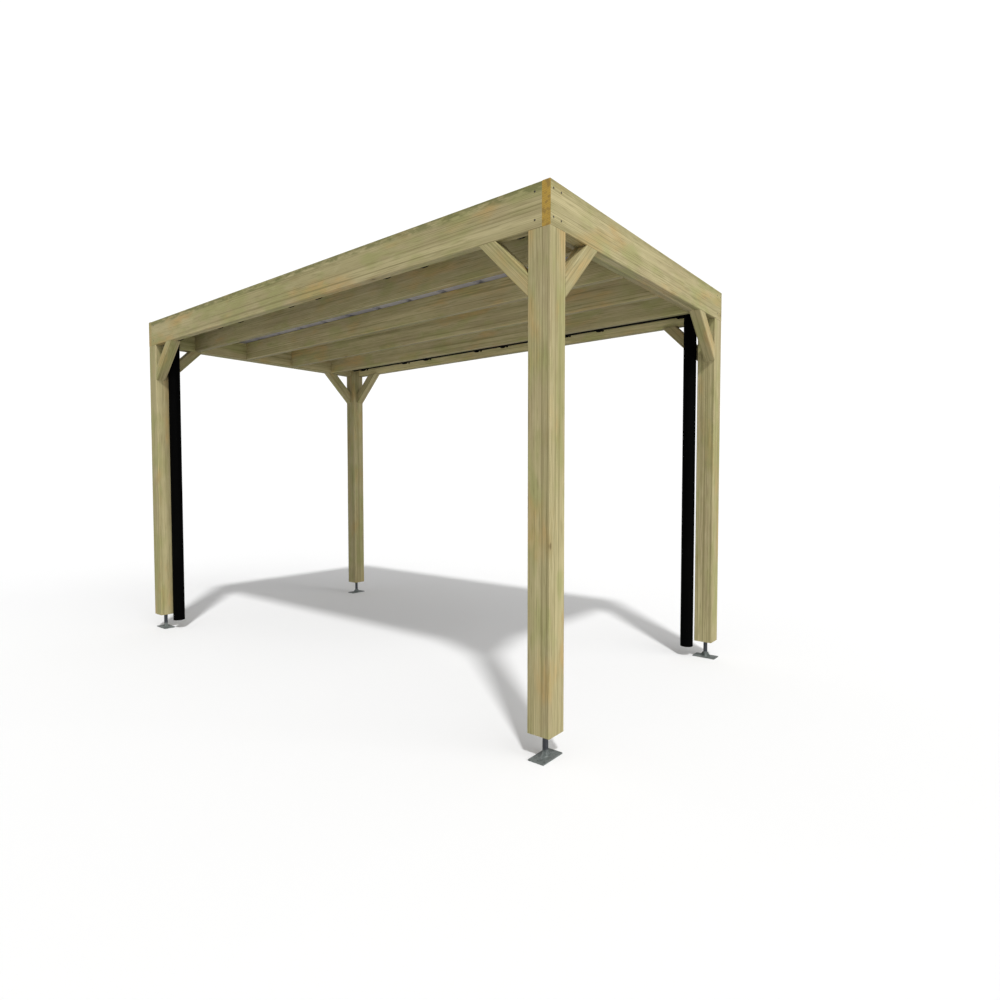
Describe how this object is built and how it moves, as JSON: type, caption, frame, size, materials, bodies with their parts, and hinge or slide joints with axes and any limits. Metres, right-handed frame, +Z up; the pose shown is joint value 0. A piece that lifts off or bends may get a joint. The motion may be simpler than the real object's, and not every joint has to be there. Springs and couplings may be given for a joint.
{
  "type": "carport",
  "caption": "Free-standing open timber carport with square posts on steel feet, knee braces, a boarded rim, rafters on ledgers and a low steel roof with gutters and downpipes inside it.",
  "frame": {"origin": "on the ground at the centre of the plan", "axes": "+X along the length, +Y across the width towards the back, +Z up"},
  "size_m": [4.034, 2.156, 2.545],
  "materials": {
    "frame_timber": "planed pressure-treated pine, satin, greenish with warm streaks",
    "rafter_timber": "planed pressure-treated pine, matt",
    "roof_sheet": "light grey coated steel, semi-matt",
    "zinc_steel": "hot-dip galvanised, dull",
    "black_plastic": "black, semi-matt",
    "black_steel": "black powder coat"
  },
  "bodies": {
    "root": {"post_front_left": "frame_timber", "post_front_right": "frame_timber", "post_back_left": "frame_timber", "post_back_right": "frame_timber", "foot_front_left": "zinc_steel", "foot_front_right": "zinc_steel", "foot_back_left": "zinc_steel", "foot_back_right": "zinc_steel", "brace_front_left_along": "frame_timber", "brace_front_left_across": "frame_timber", "brace_front_right_along": "frame_timber", "brace_front_right_across": "frame_timber", "brace_back_left_along": "frame_timber", "brace_back_left_across": "frame_timber", "brace_back_right_along": "frame_timber", "brace_back_right_across": "frame_timber", "rim_front": "frame_timber", "rim_back": "frame_timber", "rim_left": "frame_timber", "rim_right": "frame_timber", "ledger_left": "rafter_timber", "ledger_right": "rafter_timber", "rafter_front_outer": "rafter_timber", "rafter_front_inner": "rafter_timber", "rafter_back_inner": "rafter_timber", "rafter_back_outer": "rafter_timber", "roof_sheet_front_1": "roof_sheet", "roof_sheet_front_2": "roof_sheet", "roof_sheet_front_3": "roof_sheet", "roof_sheet_front_4": "roof_sheet", "roof_sheet_back_1": "roof_sheet", "roof_sheet_back_2": "roof_sheet", "roof_sheet_back_3": "roof_sheet", "roof_sheet_back_4": "roof_sheet", "ridge_cap": "roof_sheet", "gutter_front": "black_plastic", "gutter_back": "black_plastic", "outlet_left": "black_plastic", "outlet_right": "black_plastic", "gutter_brackets_front": "black_steel", "gutter_brackets_back": "black_steel", "downpipe_left": "black_plastic", "downpipe_right": "black_plastic"}
  },
  "joints": []
}
